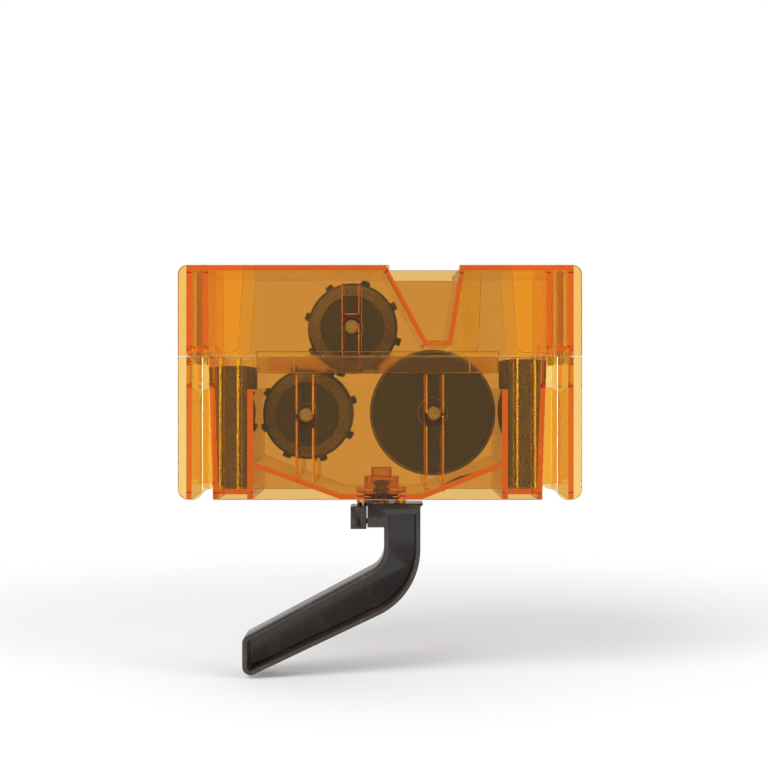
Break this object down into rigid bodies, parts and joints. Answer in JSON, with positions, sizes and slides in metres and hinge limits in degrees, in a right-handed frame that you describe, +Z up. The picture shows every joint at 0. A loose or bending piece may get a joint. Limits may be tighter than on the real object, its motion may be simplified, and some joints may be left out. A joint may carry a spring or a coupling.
{
  "type": "bicycle chain cleaner",
  "caption": "Hand-held bicycle chain cleaner: clear amber tank and lift-off lid round brush wheels and sponges, with a pour spout and a swivelling black handle.",
  "frame": {"origin": "on the chain's centre line, half way along the box and half way through its depth", "axes": "+X along the chain, from the left end to the spout's end; +Y to the back; +Z up, from the tank to the lid"},
  "size_m": [0.1496, 0.054, 0.156],
  "materials": {
    "clear_amber": "clear amber moulded plastic, glossy",
    "wheel_brown": "dark brown-black moulded plastic, satin",
    "bristle": "stiff dark nylon bristle",
    "axle_grey": "pale grey moulded plastic",
    "foam": "open-cell dark grey-brown foam",
    "black_plastic": "black moulded plastic, glossy",
    "spring_steel": "bright spring wire"
  },
  "bodies": {
    "tank_body": {"tank": "clear_amber", "left_sponge": "foam", "right_sponge": "foam"},
    "lid_body": {"lid": "clear_amber"},
    "upper_wheel": {"upper_front_cheek": "wheel_brown", "upper_rear_cheek": "wheel_brown", "upper_bristles": "bristle", "upper_axle": "axle_grey"},
    "lower_wheel": {"lower_front_cheek": "wheel_brown", "lower_rear_cheek": "wheel_brown", "lower_bristles": "bristle", "lower_axle": "axle_grey"},
    "large_wheel": {"large_front_disc": "wheel_brown", "large_rear_disc": "wheel_brown", "large_front_bristles": "bristle", "large_rear_bristles": "bristle", "large_axle": "axle_grey"},
    "handle_body": {"handle": "black_plastic", "catch_spring": "spring_steel"},
    "catch_body": {"thumb_catch": "black_plastic"}
  },
  "joints": [
    {"name": "lid_lift", "type": "slide", "parent": "tank_body", "child": "lid_body", "axis": [0, 0, 1], "range_m": [0, 0.06]},
    {"name": "upper_wheel_spin", "type": "hinge", "parent": "lid_body", "child": "upper_wheel", "pos_m": [-0.0105, 0, 0.0152], "axis": [0, 1, 0], "continuous": true},
    {"name": "lower_wheel_spin", "type": "hinge", "parent": "tank_body", "child": "lower_wheel", "pos_m": [-0.02762, 0, -0.0176], "axis": [0, 1, 0], "continuous": true},
    {"name": "large_wheel_spin", "type": "hinge", "parent": "tank_body", "child": "large_wheel", "pos_m": [0.02007, 0, -0.017], "axis": [0, 1, 0], "continuous": true},
    {"name": "handle_swivel", "type": "hinge", "parent": "tank_body", "child": "handle_body", "pos_m": [0.0005, 0, -0.052], "axis": [0, 0, 1], "range_deg": [-90, 90]},
    {"name": "catch_press", "type": "slide", "parent": "handle_body", "child": "catch_body", "axis": [0, 0, -1], "range_m": [0, 0.002], "stiffness_N_per_m": 400, "springref_m": -0.001, "deforming": ["catch_spring"]}
  ]
}
